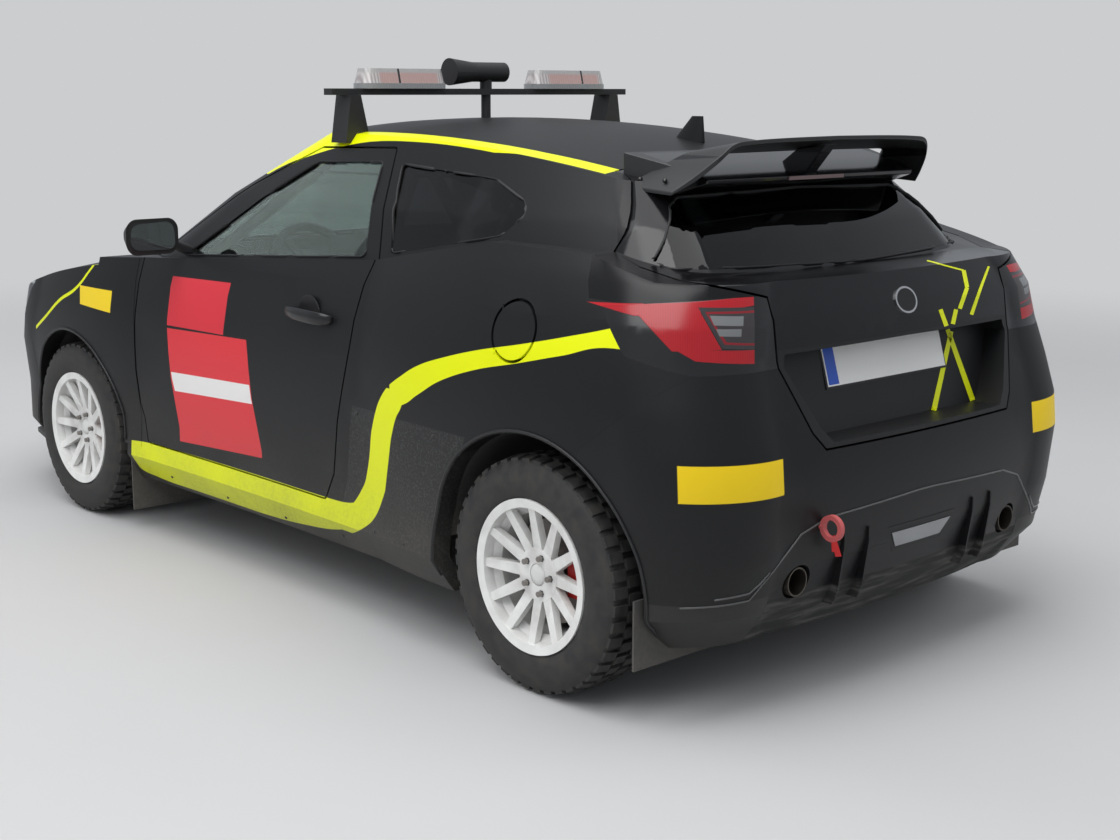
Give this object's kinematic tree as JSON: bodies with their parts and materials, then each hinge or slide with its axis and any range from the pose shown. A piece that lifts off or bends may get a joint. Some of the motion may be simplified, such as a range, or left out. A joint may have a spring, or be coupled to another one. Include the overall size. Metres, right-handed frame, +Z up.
{
  "type": "rally hatchback car",
  "caption": "Three-door hatchback rally car with a roof spoiler, beacons on a roof bar, roll cage, opening doors, bonnet and tailgate, and steered wheels.",
  "frame": {"origin": "on the ground under the middle of the car's length and width", "axes": "+X to the car's left, +Y to its tail, +Z up"},
  "size_m": [2.068, 4.092, 1.6639],
  "materials": {
    "body_paint": "satin charcoal",
    "gloss_black": "gloss black",
    "black_plastic": "grained black",
    "glass_clear": "clear, slightly green",
    "glass_dark": "dark film",
    "lamp_clear": "clear lens over a bright bowl",
    "lamp_red": "red lens",
    "cabin_metal": "grey paint",
    "aluminium_cast": "as cast",
    "seat_fabric": "black cloth",
    "cage_paint": "grey paint",
    "axle_metal": "black paint",
    "steel": "stained by heat",
    "flap_rubber": "dusty sheet",
    "tow_paint": "pinkish red",
    "rim_paint": "gloss white",
    "tyre": "gravel tread",
    "disc_iron": "turned faces"
  },
  "bodies": {
    "body": {"side_frame_left": "body_paint", "side_frame_right": "body_paint", "roof_panel": "body_paint", "front_fenders": "body_paint", "front_bumper": "body_paint", "front_grille": "black_plastic", "headlamps": "lamp_clear", "cowl": "black_plastic", "windscreen": "glass_clear", "quarter_windows": "glass_dark", "rear_bumper": "body_paint", "rear_diffuser": "black_plastic", "tail_lamps": "lamp_red", "floor_pan": "cabin_metal", "front_structure": "cabin_metal", "engine_block": "aluminium_cast", "dashboard": "black_plastic", "seats": "seat_fabric", "roll_cage": "cage_paint", "rear_axle": "axle_metal", "exhaust": "steel", "mud_flaps": "flap_rubber", "roof_rack": "black_plastic", "beacons": "lamp_clear", "tow_loop": "tow_paint"},
    "door_left": {"door_left": "body_paint", "door_glass_left": "glass_clear", "mirror_left": "gloss_black"},
    "door_right": {"door_right": "body_paint", "door_glass_right": "glass_clear", "mirror_right": "gloss_black"},
    "tailgate": {"tailgate": "body_paint", "rear_window": "glass_dark", "roof_spoiler": "gloss_black"},
    "bonnet": {"bonnet": "body_paint"},
    "steering_wheel": {"steering_wheel": "black_plastic"},
    "fuel_flap": {"fuel_flap": "body_paint"},
    "upright_left": {"front_upright_left": "axle_metal"},
    "upright_right": {"front_upright_right": "axle_metal"},
    "wheel_front_left": {"rim_front_left": "rim_paint", "tyre_front_left": "tyre", "brake_disc_front_left": "disc_iron"},
    "wheel_front_right": {"rim_front_right": "rim_paint", "tyre_front_right": "tyre", "brake_disc_front_right": "disc_iron"},
    "wheel_rear_left": {"rim_rear_left": "rim_paint", "tyre_rear_left": "tyre", "brake_disc_rear_left": "disc_iron"},
    "wheel_rear_right": {"rim_rear_right": "rim_paint", "tyre_rear_right": "tyre", "brake_disc_rear_right": "disc_iron"}
  },
  "joints": [
    {"name": "steer_left", "type": "hinge", "parent": "body", "child": "upright_left", "pos_m": [0.716, -1.17, 0.19], "axis": [-0.1748, 0, 0.9846], "range_deg": [-30, 30]},
    {"name": "steer_right", "type": "hinge", "parent": "body", "child": "upright_right", "pos_m": [-0.716, -1.17, 0.19], "axis": [0.1748, 0, 0.9846], "range_deg": [-30, 30]},
    {"name": "steering_wheel_turn", "type": "hinge", "parent": "body", "child": "steering_wheel", "pos_m": [0.37, -0.3, 0.935], "axis": [0, 0.9135, 0.4067], "range_deg": [-420, 420]},
    {"name": "door_left_hinge", "type": "hinge", "parent": "body", "child": "door_left", "pos_m": [0.844, -0.644, 0.56], "axis": [0, 0, -1], "range_deg": [0, 60]},
    {"name": "door_right_hinge", "type": "hinge", "parent": "body", "child": "door_right", "pos_m": [-0.844, -0.644, 0.56], "axis": [0, 0, 1], "range_deg": [0, 60]},
    {"name": "tailgate_hinge", "type": "hinge", "parent": "body", "child": "tailgate", "pos_m": [0, 1.33, 1.381], "axis": [1, 0, 0], "range_deg": [0, 75]},
    {"name": "bonnet_hinge", "type": "hinge", "parent": "body", "child": "bonnet", "pos_m": [0, -0.985, 0.982], "axis": [-1, 0, 0], "range_deg": [0, 50]},
    {"name": "fuel_flap_hinge", "type": "hinge", "parent": "body", "child": "fuel_flap", "pos_m": [0.869, 1.264, 0.959], "axis": [0.2504, 0, -0.9682], "range_deg": [0, 90]},
    {"name": "wheel_front_left_spin", "type": "hinge", "parent": "upright_left", "child": "wheel_front_left", "pos_m": [0.765, -1.17, 0.32], "axis": [1, 0, 0], "continuous": true},
    {"name": "wheel_front_right_spin", "type": "hinge", "parent": "upright_right", "child": "wheel_front_right", "pos_m": [-0.765, -1.17, 0.32], "axis": [1, 0, 0], "continuous": true},
    {"name": "wheel_rear_left_spin", "type": "hinge", "parent": "body", "child": "wheel_rear_left", "pos_m": [0.785, 1.39, 0.32], "axis": [1, 0, 0], "continuous": true},
    {"name": "wheel_rear_right_spin", "type": "hinge", "parent": "body", "child": "wheel_rear_right", "pos_m": [-0.785, 1.39, 0.32], "axis": [1, 0, 0], "continuous": true}
  ],
  "couplings": [
    {"joint": "steer_right", "follows": "steer_left", "ratio": 1},
    {"joint": "steering_wheel_turn", "follows": "steer_left", "ratio": 14}
  ]
}
